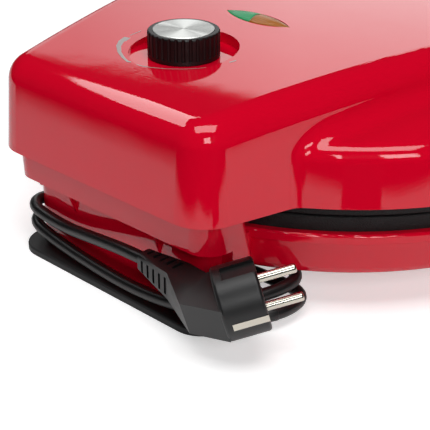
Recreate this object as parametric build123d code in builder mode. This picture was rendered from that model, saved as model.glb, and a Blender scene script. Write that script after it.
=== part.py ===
from build123d import *
from math import cos, hypot, radians, sin, sqrt, tan
import os

os.makedirs("parts", exist_ok=True)

# Electric pizza maker: a round hinged cooker with a raised console on its lid, a knob, two pilot
# lamps, and a cord that winds round a neck under the hinge. X runs across, Y towards the hinge at
# the back, and Z up from the table. The round plates are centred on the Z axis.

# Lid casing, a glossy moulding with a raised console
lid_radius = 170
lid_wall = 2.6
parting_z = 57.5
lid_base_z = parting_z + 7.5
skirt_top_z = lid_base_z + 31
skirt_draft = 4
shoulder_fillet = 10
dome_slope_width = 52
dome_edge_radius = lid_radius - dome_slope_width
dome_edge_z = skirt_top_z + 13
dome_top_z = dome_edge_z + 3
console_overhang = 28
console_rear_y = lid_radius + console_overhang
console_half_width = 79.5
console_splay = 0.25
console_corner = 22
console_draft = 4.5
console_top_z = dome_top_z + 16.5
console_crown_radius = 1500
console_edge_fillet = 14.5
console_cut_depth = 6
crease_fillet = 12

# Base casing, a bowl with a hinge block and a cord neck behind it
rim_radius = lid_radius - 2.5
rim_top_z = parting_z - 8.5
rim_bead = 5
bowl_wall_radius = rim_radius - 1.5
bowl_foot_radius = bowl_wall_radius - 5
bowl_floor_z = rim_top_z - 27
bowl_wall = 2.6
bowl_foot_fillet = 7
plate_clearance = 1.8

# Cooking plates, cast aluminium, with a gap at the parting line
plate_radius = rim_radius - 5
plate_gap = 0.5
plate_wall = 3.2
flange_width = 8.5
well_radius = plate_radius - flange_width
well_floor_radius = well_radius - 6
ledge_radius = plate_radius - 4.5
lower_face_z = parting_z - 11.5
upper_face_z = parting_z + 12.5
upper_flange_top_z = parting_z + 8.5
post_ring_radius = 100
post_radius = 5
lower_pan_z = lower_face_z - 13
upper_pan_z = upper_face_z + 13
pan_radius = well_floor_radius
pan_sheet = 0.5
pan_rim = 6

# Heating elements, metal-sheathed rods bent to a ring
element_ring_radius = 84
element_rod_radius = 3.3
element_bend = 12
element_leg = 14
element_sweep = 340
element_seat = 0.05

# Hinge
hinge_y = console_rear_y - 14.5
hinge_arm_x = 45
hinge_arm_width = 14
hinge_pin_radius = 1.5
hinge_pin_length = 27
pin_running_gap = 0.05
pin_seat_gap = 0.02
knuckle_radius = 3.5
arm_top_rise = 1.5
arm_leg_thickness = 4.5
arm_leg_y = hinge_y - 22.5
arm_leg_top_z = skirt_top_z + 8
arm_side_gap = 0.5
pocket_rear_y = hinge_y + knuckle_radius + 0.3
pad_width = 18
pad_depth = 13
pad_base_z = lid_base_z + 22
hinge_screw_z = (pad_base_z + 4.5, pad_base_z + 12.5)

# Hinge block and cord neck
block_half_width = 78
block_rear_y = hinge_y + 6.5
block_top_z = lid_base_z - 1.5
block_ledge_z = block_top_z - 17.5
block_lean = 0.8
block_corner = 14
hinge_z = block_top_z - 6.8
pocket_floor_z = block_top_z - 13
flank_rear_y = hinge_y - 11.5
flank_front_y = hinge_y - 29
flank_top_front_y = hinge_y - 21
flank_base_z = block_ledge_z - 14
flank_corner = 4
web_half_width = 60
web_depth = 6
neck_half_width = 71
neck_front_y = hinge_y - 40.5
neck_rear_y = hinge_y - 2.5
neck_corner = 12
neck_wall = 2.6
gusset_x = 34
gusset_depth = 4
gusset_height = 14
gusset_thickness = 2

# Foot plate under the neck, and front feet under the bowl
foot_half_width = neck_half_width + 6
foot_front_y = neck_front_y - 10
foot_rear_y = neck_rear_y + 12
foot_thickness = 4
foot_corner = neck_corner + 6
front_foot_x = 70
front_foot_y = -(bowl_foot_radius - 43)
front_foot_radius = 9
front_pad_radius = 8
front_pad_height = 3

# Control knob and thermostat
knob_y = console_rear_y - 69.5
knob_radius = 19.5
knob_height = 14.1
dish_radius = 30
dish_floor_z = console_top_z - 9.1
dish_boss_thickness = 3
knob_base_z = dish_floor_z + 0.5
knob_top_z = knob_base_z + knob_height
flute_count = 32
flute_radius = 1.1
knob_skirt = 2
knob_edge_fillet = 1.2
knob_cap_radius = 16.8
knob_cap_thickness = 1.1
knob_cap_proud = 0.2
shaft_radius = 3
shaft_base_z = dish_floor_z - 16.4
shaft_top_z = knob_top_z - 3.5
bush_radius = 4.7
bush_seat_gap = 0.1
bush_top_z = dish_floor_z + 2.4
nut_radius = 8
nut_height = 2
knob_hollow_radius = nut_radius + 1
knob_hollow_top_z = bush_top_z + 0.8
thermostat_width = 36
thermostat_depth = 26
thermostat_base_z = shaft_base_z - 5

# Pilot lamps under a two-colour lens
lens_y = knob_y - 58.5
lens_length = 48
lens_width = 14.5
lens_gap = 0.15
lens_seat_z = console_top_z - 7.2
lamp_box_width = lens_length + 14
lamp_box_depth = lens_width + 9.5
lamp_box_base_z = lens_seat_z - 14.3
lamp_box_top_z = lens_seat_z + 2.3
lamp_floor_z = lens_seat_z - 11.4
lamp_radius = 3
lamp_length = 13
lamp_x = lens_length / 4 + 1

# Front grips
grip_width = 90
grip_reach_y = -console_rear_y
grip_seat_y = -(lid_radius + 3)
bracket_half_width = 30
lid_grip_base_z = lid_base_z + 2
lid_grip_top_z = lid_base_z + 25
base_grip_base_z = rim_top_z - 20
base_grip_top_z = rim_top_z - 1.5
grip_fillet = 5
grip_corner = 14

# Screws
screw_radius = 1.7
screw_hole_gap = 0.1
screw_head_radius = 3.5
screw_head_height = 2.4

# Cord, wound two turns round the neck, and its plug
cord_radius = 3.1
cord_stand_off = 0.5
gland_y = neck_rear_y - 15
gland_z = foot_thickness + 4.6
gland_radius = 4.4
gland_proud = 2.5
plug_cord_x = -35.8
plug_cord_y = neck_rear_y + 12.2
plug_cord_z = foot_thickness + 29.4
plug_face = (plug_cord_x - 68.5, plug_cord_y - 14.4, plug_cord_z + 2.3)
plug_pin_direction = (-0.618, -0.742, 0.259)
plug_clip_direction = (-0.786, 0.593, -0.175)
plug_head_radius = 18.8
plug_head_depth = 22
plug_head_fillet = 1.8
plug_pin_spacing = 19
plug_pin_radius = 2.4
plug_pin_length = 19
guide_width = 9
guide_depth = 2.4
guide_length = 17
earth_strip_width = 4
earth_strip_length = 18
earth_strip_thickness = 0.8
strip_seat_radius = plug_head_radius - 0.8
# Wedge corners in the plug's own flat plane: first towards its clips, then towards its pins
wedge_inner = (-14, -24)
wedge_outer = (3, -39.8)
wedge_front = (17, -21)
wedge_thickness = 20.5
relief_end = (plug_cord_x - 25.4, plug_cord_y + 1, plug_cord_z - 2.2)
relief_end_size = 15
relief_start_size = 10.5
relief_slot_count = 5
relief_slot_width = 1.7
relief_slot_depth = 2


def console_outline(inset):
    """The console's plan: a straight back, splayed sides, and a round front they run into."""
    reach = hypot(1, console_splay)
    front_radius = (console_half_width + console_splay * console_rear_y) / reach - inset
    rear_y = console_rear_y - inset
    rear_x = front_radius * reach - console_splay * rear_y
    touch_x = front_radius / reach
    touch_y = front_radius * console_splay / reach
    with BuildLine() as outline:
        Line((rear_x, rear_y), (-rear_x, rear_y))
        Line((-rear_x, rear_y), (-touch_x, touch_y))
        ThreePointArc((-touch_x, touch_y), (0, -front_radius), (touch_x, touch_y))
        Line((touch_x, touch_y), (rear_x, rear_y))
    return outline.line


def crown_height(y, inset=0):
    """Height of the console's gently arched top at a distance y from the middle."""
    return console_top_z - inset - y * y / (2 * console_crown_radius)


def lid_form(inset, blended):
    """The lid's form, drawn in by inset on every face but its open underside."""
    end_y = console_rear_y + 20
    shoulder_x = lid_radius - inset - (skirt_top_z - lid_base_z) * tan(radians(skirt_draft))
    shoulder_z = skirt_top_z - inset
    with BuildPart() as form:
        with BuildSketch(Plane.XY.offset(lid_base_z)) as plan:
            add(console_outline(inset))
            make_face()
            fillet(plan.vertices().group_by(Axis.Y)[-1], radius=console_corner - inset)
        extrude(amount=console_top_z - lid_base_z + console_cut_depth, taper=console_draft)
        with BuildSketch(Plane.YZ):
            with BuildLine():
                low = crown_height(end_y, inset)
                ThreePointArc((-end_y, low), (0, crown_height(0, inset)), (end_y, low))
                Polyline((end_y, low), (end_y, 2 * low), (-end_y, 2 * low), (-end_y, low))
            make_face()
        extrude(amount=lid_radius, both=True, mode=Mode.SUBTRACT)
        top_edges = form.faces().sort_by(Axis.Z)[-1].edges()
        fillet(top_edges, radius=console_edge_fillet - inset)
        with BuildSketch(Plane.XZ) as section:
            with BuildLine():
                Polyline(
                    (0, lid_base_z),
                    (lid_radius - inset, lid_base_z),
                    (shoulder_x, shoulder_z),
                    (dome_edge_radius, dome_edge_z - inset),
                    (0, dome_top_z - inset),
                    close=True,
                )
            make_face()
            fillet(section.vertices().sort_by(Axis.X)[-2], radius=shoulder_fillet)
        revolve(axis=Axis.Z)
        if blended:
            creases = [e for e in form.edges(Select.NEW) if e.length < 4 * dome_edge_radius]
            fillet(creases, radius=crease_fillet)
    return form.part


def post_locations(z):
    """Four places on the ring where posts, bosses and screws line up."""
    return [
        Location((sx * post_ring_radius * cos(radians(45)), sy * post_ring_radius * sin(radians(45)), z))
        for sx in (-1, 1)
        for sy in (-1, 1)
    ]


def lens_outline(grow):
    """An almond of two arcs, as long and wide as the lens and grown by grow."""
    half = lens_length / 2 + grow
    wide = lens_width / 2 + grow
    with BuildLine() as outline:
        ThreePointArc((-half, lens_y), (0, lens_y - wide), (half, lens_y))
        ThreePointArc((half, lens_y), (0, lens_y + wide), (-half, lens_y))
    return outline.line


def element_rod(z):
    """A rod bent to an open ring, with its two ends turned outwards at the back."""
    gap = (360 - element_sweep) / 2
    with BuildPart() as rod:
        with BuildLine(Plane.XY.offset(z)) as path:
            ring = CenterArc((0, 0), element_ring_radius, 90 + gap, element_sweep)
            out = JernArc(start=ring @ 1, tangent=ring % 1, radius=element_bend, arc_size=-90)
            Line(out @ 1, out @ 1 + (out % 1) * element_leg)
            back = JernArc(start=ring @ 0, tangent=(ring % 0) * -1, radius=element_bend, arc_size=90)
            Line(back @ 1, back @ 1 + (back % 1) * element_leg)
        with BuildSketch(Plane(origin=ring @ 0, z_dir=ring % 0)):
            Circle(element_rod_radius)
        sweep(path=path.line)
    return rod.part


def pan(z, side):
    """A shallow steel heat shield with its rim turned towards the plate, up or down by side."""
    with BuildPart() as dish:
        with BuildSketch(Plane.XZ):
            with BuildLine():
                top = z + pan_sheet
                tip = top + pan_rim if side > 0 else z - pan_rim
                near = top if side > 0 else z
                far = z if side > 0 else top
                inner = pan_radius - pan_sheet
                Polyline((0, far), (pan_radius, far), (pan_radius, tip), (inner, tip), (inner, near), (0, near),
                         close=True)
            make_face()
        revolve(axis=Axis.Z)
        with Locations(*post_locations(z)):
            Cylinder(screw_radius + screw_hole_gap, 4 * pan_sheet, mode=Mode.SUBTRACT)
    return dish.part


# Lid casing: the outer form less an inner form that leaves the bosses and pads standing
with BuildPart() as lid_hollow:
    add(lid_form(lid_wall, blended=False))
    boss_height = console_top_z - upper_pan_z - pan_sheet
    with Locations(*post_locations(upper_pan_z + pan_sheet + boss_height / 2)):
        Cylinder(post_radius, boss_height, mode=Mode.SUBTRACT)
    pad_height = console_top_z - pad_base_z
    with Locations(*[(s * hinge_arm_x, arm_leg_y - pad_depth / 2, pad_base_z + pad_height / 2) for s in (-1, 1)]):
        Box(pad_width, pad_depth, pad_height, mode=Mode.SUBTRACT)
    dish_boss_z = dish_floor_z - dish_boss_thickness
    with Locations((0, knob_y, dish_boss_z)):
        Cylinder(dish_radius + lid_wall, console_top_z - dish_boss_z, mode=Mode.SUBTRACT,
                 align=(Align.CENTER, Align.CENTER, Align.MIN))

with BuildPart() as lid_housing:
    add(lid_form(0, blended=True))
    add(lid_hollow.part, mode=Mode.SUBTRACT)
    with Locations((0, knob_y, dish_floor_z)):
        Cylinder(dish_radius, console_top_z - dish_floor_z, mode=Mode.SUBTRACT,
                 align=(Align.CENTER, Align.CENTER, Align.MIN))
    with Locations((0, knob_y, dish_floor_z)):
        Cylinder(bush_radius + bush_seat_gap, 4 * dish_boss_thickness, mode=Mode.SUBTRACT)
    with BuildSketch(Plane.XY.offset(lens_seat_z)):
        add(lens_outline(lens_gap))
        make_face()
    extrude(amount=console_top_z - lens_seat_z + 1, mode=Mode.SUBTRACT)
    with Locations(*post_locations(upper_pan_z + pan_sheet)):
        Cylinder(screw_radius + screw_hole_gap, 20, mode=Mode.SUBTRACT)
    with Locations(*[Location((sx * hinge_arm_x, arm_leg_y, z), (90, 0, 0)) for sx in (-1, 1) for z in hinge_screw_z]):
        Cylinder(screw_radius + screw_hole_gap, 2 * (pad_depth - 3), mode=Mode.SUBTRACT)
    bracket_height = lid_grip_top_z - lid_grip_base_z - 4
    with BuildSketch(Plane.XZ.offset(-grip_seat_y)):
        with Locations((0, (lid_grip_top_z + lid_grip_base_z) / 2)):
            RectangleRounded(2 * bracket_half_width, bracket_height, 3)
    extrude(until=Until.NEXT, dir=(0, 1, 0))
lid_housing.part.label = "lid_housing"
export_step(lid_housing.part, "parts/lid_housing.step")

# Base casing
with BuildPart() as base_housing:
    with BuildSketch(Plane.XZ) as bowl_section:
        with BuildLine():
            Polyline(
                (0, bowl_floor_z),
                (bowl_foot_radius, bowl_floor_z),
                (bowl_wall_radius, rim_top_z - rim_bead),
                (rim_radius, rim_top_z - rim_bead),
                (rim_radius, rim_top_z),
                (0, rim_top_z),
                close=True,
            )
        make_face()
        fillet(bowl_section.vertices().group_by(Axis.Y)[0].sort_by(Axis.X)[-1], radius=bowl_foot_fillet)
        fillet(bowl_section.vertices().group_by(Axis.Y)[-1].sort_by(Axis.X)[-1], radius=1.5)
    revolve(axis=Axis.Z)
    with BuildSketch(Plane.YZ):
        Polygon(
            (flank_top_front_y, block_top_z),
            (block_rear_y, block_top_z),
            (block_rear_y - block_lean, block_ledge_z),
            (flank_rear_y, block_ledge_z),
            (flank_rear_y, flank_base_z),
            (flank_front_y, flank_base_z),
            align=None,
        )
    extrude(amount=block_half_width, both=True)
    upright = [
        e
        for e in base_housing.edges()
        if abs(abs(e.center().X) - block_half_width) < 0.1 and abs(e.tangent_at(0.5).Z) > 0.8
    ]
    fillet([e for e in upright if e.center().Y > flank_rear_y + 5], radius=block_corner)
    fillet([e for e in upright if e.center().Y < flank_rear_y - 5], radius=flank_corner)
    with BuildSketch(Plane.XY.offset(block_top_z)):
        with Locations((0, (flank_top_front_y + neck_front_y) / 2)):
            Rectangle(2 * web_half_width, flank_top_front_y - neck_front_y + 2 * web_depth)
    extrude(amount=-(block_top_z - rim_top_z + rim_bead))
    with BuildSketch(Plane.XY.offset(foot_thickness)) as neck_plan:
        with Locations((0, (neck_front_y + neck_rear_y) / 2)):
            RectangleRounded(2 * neck_half_width, neck_rear_y - neck_front_y, neck_corner)
    extrude(amount=block_ledge_z - foot_thickness + 1)
    for sx in (-1, 1):
        with BuildSketch(Plane.YZ.offset(sx * gusset_x)):
            Polygon(
                (neck_rear_y - 1, block_ledge_z + 1),
                (neck_rear_y + gusset_depth, block_ledge_z + 1),
                (neck_rear_y + gusset_depth, block_ledge_z - 3),
                (neck_rear_y, block_ledge_z - gusset_height),
                (neck_rear_y - 1, block_ledge_z - gusset_height),
                align=None,
            )
        extrude(amount=gusset_thickness / 2, both=True)
    with Locations(*[(sx * front_foot_x, front_foot_y, front_pad_height) for sx in (-1, 1)]):
        Cone(front_foot_radius - 1, front_foot_radius, bowl_floor_z - front_pad_height + 1,
             align=(Align.CENTER, Align.CENTER, Align.MIN))
    with BuildSketch(Plane.XZ.offset(-grip_seat_y)):
        with Locations((0, (base_grip_top_z + base_grip_base_z) / 2)):
            RectangleRounded(2 * bracket_half_width, base_grip_top_z - base_grip_base_z - 3, 3)
    extrude(amount=-(grip_seat_y + bowl_foot_radius - 9), dir=(0, 1, 0))
    # Hollow of the bowl, with a ledge round the rim that the plate's flange rests on
    with BuildSketch(Plane.XZ):
        with BuildLine():
            floor_z = bowl_floor_z + bowl_wall
            Polyline(
                (0, floor_z),
                (bowl_foot_radius - 2 * bowl_wall, floor_z),
                (bowl_wall_radius - 1.6 * bowl_wall, rim_top_z - rim_bead - 3),
                (ledge_radius, rim_top_z - rim_bead),
                (ledge_radius, rim_top_z),
                (plate_radius + plate_clearance, rim_top_z),
                (plate_radius + plate_clearance, block_top_z + 1),
                (0, block_top_z + 1),
                close=True,
            )
        make_face()
    revolve(axis=Axis.Z, mode=Mode.SUBTRACT)
    with Locations(*post_locations(bowl_floor_z)):
        Cylinder(post_radius, lower_pan_z - bowl_floor_z, align=(Align.CENTER, Align.CENTER, Align.MIN))
    with Locations(*post_locations(bowl_floor_z)):
        Cylinder(screw_radius + screw_hole_gap, 60, mode=Mode.SUBTRACT)
    # Hollow of the neck, closed below by the foot plate
    inner_depth = neck_rear_y - neck_front_y - 2 * neck_wall
    with BuildSketch(Plane.XY.offset(foot_thickness)):
        with Locations((0, (neck_front_y + neck_rear_y) / 2)):
            RectangleRounded(2 * (neck_half_width - neck_wall), inner_depth, neck_corner - neck_wall)
    extrude(amount=bowl_floor_z - foot_thickness - neck_wall, mode=Mode.SUBTRACT)
    # Pockets for the hinge arms, open upwards and towards the plates, and the pins' holes
    pocket_width = hinge_arm_width + 2 * arm_side_gap
    pocket_depth = pocket_rear_y - arm_leg_y + 3
    with Locations(*[(sx * hinge_arm_x, pocket_rear_y - pocket_depth / 2, pocket_floor_z) for sx in (-1, 1)]):
        Box(pocket_width, pocket_depth, block_top_z - pocket_floor_z + 1, mode=Mode.SUBTRACT,
            align=(Align.CENTER, Align.CENTER, Align.MIN))
    with Locations(*[Location((sx * hinge_arm_x, hinge_y, hinge_z), (0, 90, 0)) for sx in (-1, 1)]):
        Cylinder(hinge_pin_radius + pin_seat_gap, hinge_pin_length + 2 * pin_seat_gap, mode=Mode.SUBTRACT)
    # Seat of the cord's gland in the neck's end wall
    with Locations(Location((-neck_half_width, gland_y, gland_z), (0, 90, 0))):
        Cylinder(gland_radius + pin_seat_gap, 3 * neck_wall, mode=Mode.SUBTRACT)
base_housing.part.label = "base_housing"
export_step(base_housing.part, "parts/base_housing.step")

# Foot plate, which closes the neck and keeps the wound cord off the table
with BuildPart() as foot_plate:
    with BuildSketch():
        with Locations((0, (foot_front_y + foot_rear_y) / 2)):
            RectangleRounded(2 * foot_half_width, foot_rear_y - foot_front_y, foot_corner)
    extrude(amount=foot_thickness)
    fillet(foot_plate.faces().sort_by(Axis.Z)[-1].edges(), radius=1)
    with Locations(*[(sx * neck_half_width / 2, (neck_front_y + neck_rear_y) / 2, 0) for sx in (-1, 1)]):
        Cylinder(screw_head_radius + 1, 2 * 2.6, mode=Mode.SUBTRACT)
foot_plate.part.label = "foot_plate"
export_step(foot_plate.part, "parts/foot_plate.step")

# Rubber pads under the two front feet
with BuildPart() as front_pads:
    with Locations(*[(sx * front_foot_x, front_foot_y, 0) for sx in (-1, 1)]):
        Cylinder(front_pad_radius, front_pad_height, align=(Align.CENTER, Align.CENTER, Align.MIN))
    fillet(front_pads.edges().group_by(Axis.Z)[0], radius=1)
front_pads.part.label = "front_pads"
export_step(front_pads.part, "parts/front_pads.step")

# Lower cooking plate: a shallow well inside a flange that rests on the bowl's ledge
lower_flange_top_z = parting_z - plate_gap / 2
with BuildPart() as lower_plate:
    with BuildSketch(Plane.XZ) as lower_section:
        with BuildLine():
            Polyline(
                (0, lower_face_z),
                (well_floor_radius, lower_face_z),
                (well_radius, lower_flange_top_z),
                (plate_radius, lower_flange_top_z),
                (plate_radius, rim_top_z),
                (ledge_radius - 1, rim_top_z),
                (well_floor_radius + plate_wall, lower_face_z - plate_wall),
                (0, lower_face_z - plate_wall),
                close=True,
            )
        make_face()
        fillet(lower_section.vertices().group_by(Axis.Y)[-1], radius=1.2)
    revolve(axis=Axis.Z)
    lower_post = lower_face_z - plate_wall - lower_pan_z - pan_sheet
    with Locations(*post_locations(lower_pan_z + pan_sheet)):
        Cylinder(post_radius, lower_post, align=(Align.CENTER, Align.CENTER, Align.MIN))
    with Locations(*post_locations(lower_pan_z)):
        Cylinder(screw_radius + screw_hole_gap, lower_post, mode=Mode.SUBTRACT,
                 align=(Align.CENTER, Align.CENTER, Align.MIN))
lower_plate.part.label = "lower_plate"
export_step(lower_plate.part, "parts/lower_plate.step")

# Upper cooking plate, the same well turned over
upper_flange_base_z = parting_z + plate_gap / 2
with BuildPart() as upper_plate:
    with BuildSketch(Plane.XZ) as upper_section:
        with BuildLine():
            Polyline(
                (0, upper_face_z),
                (well_floor_radius, upper_face_z),
                (well_radius, upper_flange_base_z),
                (plate_radius, upper_flange_base_z),
                (plate_radius, upper_flange_top_z),
                (ledge_radius, upper_flange_top_z),
                (well_floor_radius + plate_wall, upper_face_z + plate_wall),
                (0, upper_face_z + plate_wall),
                close=True,
            )
        make_face()
        fillet(upper_section.vertices().group_by(Axis.Y)[0], radius=1.2)
    revolve(axis=Axis.Z)
    upper_post = upper_pan_z - upper_face_z - plate_wall
    with Locations(*post_locations(upper_face_z + plate_wall)):
        Cylinder(post_radius, upper_post, align=(Align.CENTER, Align.CENTER, Align.MIN))
    with Locations(*post_locations(upper_pan_z)):
        Cylinder(screw_radius + screw_hole_gap, 2 * upper_post - 4, mode=Mode.SUBTRACT)
upper_plate.part.label = "upper_plate"
export_step(upper_plate.part, "parts/upper_plate.step")

# Heating elements, one against the back of each plate
element_offset = element_rod_radius + element_seat
lower_element = element_rod(lower_face_z - plate_wall - element_offset)
lower_element.label = "lower_element"
export_step(lower_element, "parts/lower_element.step")
upper_element = element_rod(upper_face_z + plate_wall + element_offset)
upper_element.label = "upper_element"
export_step(upper_element, "parts/upper_element.step")

# Heat shields behind the elements
lower_pan = pan(lower_pan_z, 1)
lower_pan.label = "lower_heat_shield"
export_step(lower_pan, "parts/lower_heat_shield.step")
upper_pan = pan(upper_pan_z, -1)
upper_pan.label = "upper_heat_shield"
export_step(upper_pan, "parts/upper_heat_shield.step")

# Screws that clamp each plate and its heat shield to the casing's bosses
with BuildPart() as base_screws:
    with Locations(*post_locations(bowl_floor_z)):
        Cylinder(screw_radius, lower_pan_z + pan_sheet + lower_post - 4 - bowl_floor_z,
                 align=(Align.CENTER, Align.CENTER, Align.MIN))
        Cylinder(screw_head_radius, screw_head_height, align=(Align.CENTER, Align.CENTER, Align.MAX))
base_screws.part.label = "base_screws"
export_step(base_screws.part, "parts/base_screws.step")

with BuildPart() as lid_screws:
    with Locations(*post_locations(upper_pan_z - upper_post + 3)):
        Cylinder(screw_radius, upper_post + 5, align=(Align.CENTER, Align.CENTER, Align.MIN))
lid_screws.part.label = "lid_screws"
export_step(lid_screws.part, "parts/lid_screws.step")

# Hinge arms: a knuckle on the pin, a bar forward, and a leg up to the lid's pads
with BuildPart() as hinge_arms:
    with BuildSketch(Plane.YZ) as arm_section:
        with BuildLine():
            arm_low_z = hinge_z - knuckle_radius
            arm_top_z = hinge_z + arm_top_rise
            knuckle_y = hinge_y + sqrt(knuckle_radius**2 - arm_top_rise**2)
            Polyline((hinge_y, arm_low_z), (arm_leg_y, arm_low_z), (arm_leg_y, arm_leg_top_z),
                     (arm_leg_y + arm_leg_thickness, arm_leg_top_z),
                     (arm_leg_y + arm_leg_thickness, arm_top_z), (knuckle_y, arm_top_z))
            ThreePointArc((knuckle_y, arm_top_z), (hinge_y + knuckle_radius, hinge_z), (hinge_y, arm_low_z))
        make_face()
        inner = arm_section.vertices().sort_by_distance((arm_leg_y + arm_leg_thickness, arm_top_z))
        fillet(inner[0], radius=4)
        with Locations((hinge_y, hinge_z)):
            Circle(hinge_pin_radius + pin_running_gap, mode=Mode.SUBTRACT)
    extrude(amount=hinge_arm_width / 2, both=True)
    with Locations(*[Location((0, arm_leg_y, z), (90, 0, 0)) for z in hinge_screw_z]):
        Cylinder(screw_radius + screw_hole_gap, 4 * arm_leg_thickness, mode=Mode.SUBTRACT)
    hinge_arm_solid = hinge_arms.part
with BuildPart() as hinge_arm_pair:
    with Locations(*[(sx * hinge_arm_x, 0, 0) for sx in (-1, 1)]):
        add(hinge_arm_solid)
hinge_arm_pair.part.label = "hinge_arms"
export_step(hinge_arm_pair.part, "parts/hinge_arms.step")

# Screws through the arms' legs into the lid's pads
with BuildPart() as hinge_screws:
    with Locations(*[Location((sx * hinge_arm_x, arm_leg_y + arm_leg_thickness, z), (-90, 0, 0))
                     for sx in (-1, 1) for z in hinge_screw_z]):
        Cylinder(screw_head_radius, screw_head_height, align=(Align.CENTER, Align.CENTER, Align.MIN))
        Cylinder(screw_radius, arm_leg_thickness + pad_depth - 4, align=(Align.CENTER, Align.CENTER, Align.MAX))
hinge_screws.part.label = "hinge_screws"
export_step(hinge_screws.part, "parts/hinge_screws.step")

# Hinge pins, fast in the base's block
with BuildPart() as hinge_pins:
    with Locations(*[Location((sx * hinge_arm_x, hinge_y, hinge_z), (0, 90, 0)) for sx in (-1, 1)]):
        Cylinder(hinge_pin_radius, hinge_pin_length)
hinge_pins.part.label = "hinge_pins"
export_step(hinge_pins.part, "parts/hinge_pins.step")

# Thermostat: a body under the dish's boss, with a threaded bush up through it
with BuildPart() as thermostat:
    body_height = dish_boss_z - thermostat_base_z
    with Locations((0, knob_y, thermostat_base_z)):
        Box(thermostat_width, thermostat_depth, body_height, align=(Align.CENTER, Align.CENTER, Align.MIN))
    fillet(thermostat.edges().filter_by(Axis.Z), radius=3)
    with Locations((0, knob_y, dish_boss_z)):
        Cylinder(bush_radius, bush_top_z - dish_boss_z, align=(Align.CENTER, Align.CENTER, Align.MIN))
    with Locations((0, knob_y, shaft_base_z - 0.5)):
        Cylinder(shaft_radius + pin_running_gap, 2 * body_height, mode=Mode.SUBTRACT,
                 align=(Align.CENTER, Align.CENTER, Align.MIN))
thermostat.part.label = "thermostat"
export_step(thermostat.part, "parts/thermostat.step")

# Nut that holds the bush down on the dish's floor, under the knob's skirt
with BuildPart() as thermostat_nut:
    with BuildSketch(Plane.XY.offset(dish_floor_z)):
        with Locations((0, knob_y)):
            RegularPolygon(nut_radius, 6)
            Circle(bush_radius, mode=Mode.SUBTRACT)
    extrude(amount=nut_height)
thermostat_nut.part.label = "thermostat_nut"
export_step(thermostat_nut.part, "parts/thermostat_nut.step")

with BuildPart() as thermostat_shaft:
    with Locations((0, knob_y, shaft_base_z)):
        Cylinder(shaft_radius, shaft_top_z - shaft_base_z, align=(Align.CENTER, Align.CENTER, Align.MIN))
thermostat_shaft.part.label = "thermostat_shaft"
export_step(thermostat_shaft.part, "parts/thermostat_shaft.step")

# Knob: a fluted moulding with a spun aluminium cap let into its top
with BuildPart() as control_knob:
    with Locations((0, knob_y, knob_base_z)):
        Cylinder(knob_radius, knob_top_z - knob_base_z, align=(Align.CENTER, Align.CENTER, Align.MIN))
    fillet(control_knob.edges().group_by(Axis.Z)[-1], radius=knob_edge_fillet)
    with Locations((0, knob_y, knob_base_z + knob_skirt)):
        with PolarLocations(knob_radius + 0.35 * flute_radius, flute_count):
            Cylinder(flute_radius, knob_top_z - knob_base_z, mode=Mode.SUBTRACT,
                     align=(Align.CENTER, Align.CENTER, Align.MIN))
    with Locations((0, knob_y, knob_top_z)):
        Cylinder(knob_cap_radius + pin_seat_gap, 2 * (knob_cap_thickness - knob_cap_proud), mode=Mode.SUBTRACT)
    with Locations((0, knob_y, knob_base_z)):
        Cylinder(knob_hollow_radius, knob_hollow_top_z - knob_base_z, mode=Mode.SUBTRACT,
                 align=(Align.CENTER, Align.CENTER, Align.MIN))
    with Locations((0, knob_y, knob_base_z)):
        Cylinder(shaft_radius + pin_seat_gap, shaft_top_z - knob_base_z + pin_seat_gap, mode=Mode.SUBTRACT,
                 align=(Align.CENTER, Align.CENTER, Align.MIN))
control_knob.part.label = "control_knob"
export_step(control_knob.part, "parts/control_knob.step")

with BuildPart() as knob_cap:
    with Locations((0, knob_y, knob_top_z + knob_cap_proud)):
        Cylinder(knob_cap_radius, knob_cap_thickness, align=(Align.CENTER, Align.CENTER, Align.MAX))
    chamfer(knob_cap.edges().group_by(Axis.Z)[-1], length=0.3)
knob_cap.part.label = "knob_cap"
export_step(knob_cap.part, "parts/knob_cap.step")

# Two-colour lens, flush in the console, one half each side of its middle
lens_top_z = crown_height(lens_y) + 0.2
for side, label in ((1, "green_lens"), (-1, "amber_lens")):
    with BuildPart() as lens:
        with BuildSketch(Plane.XY.offset(lens_seat_z)):
            add(lens_outline(0))
            make_face()
            with Locations((-side * lens_length / 2 + side * lens_gap / 2, lens_y)):
                Rectangle(lens_length, 2 * lens_width, mode=Mode.SUBTRACT)
        extrude(amount=lens_top_z - lens_seat_z)
    lens.part.label = label
    export_step(lens.part, "parts/" + label + ".step")

# Lamp box under the lens, with a seat for the lens and a chamber for each lamp
with BuildPart() as lamp_box:
    with Locations((0, lens_y, lamp_box_base_z)):
        Box(lamp_box_width, lamp_box_depth, lamp_box_top_z - lamp_box_base_z,
            align=(Align.CENTER, Align.CENTER, Align.MIN))
    with BuildSketch(Plane.XY.offset(lens_seat_z)):
        add(lens_outline(lens_gap))
        make_face()
    extrude(amount=lamp_box_top_z - lens_seat_z, mode=Mode.SUBTRACT)
    with Locations(*[(sx * lamp_x, lens_y, lamp_floor_z) for sx in (-1, 1)]):
        Box(lamp_length + 2, 2 * lamp_radius + 1, lens_seat_z - lamp_floor_z, mode=Mode.SUBTRACT,
            align=(Align.CENTER, Align.CENTER, Align.MIN))
lamp_box.part.label = "lamp_box"
export_step(lamp_box.part, "parts/lamp_box.step")

with BuildPart() as neon_lamps:
    with Locations(*[Location((sx * lamp_x, lens_y, lamp_floor_z + lamp_radius), (0, 90, 0)) for sx in (-1, 1)]):
        Cylinder(lamp_radius, lamp_length)
    chamfer(neon_lamps.edges(), length=1)
neon_lamps.part.label = "neon_lamps"
export_step(neon_lamps.part, "parts/neon_lamps.step")

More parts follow.
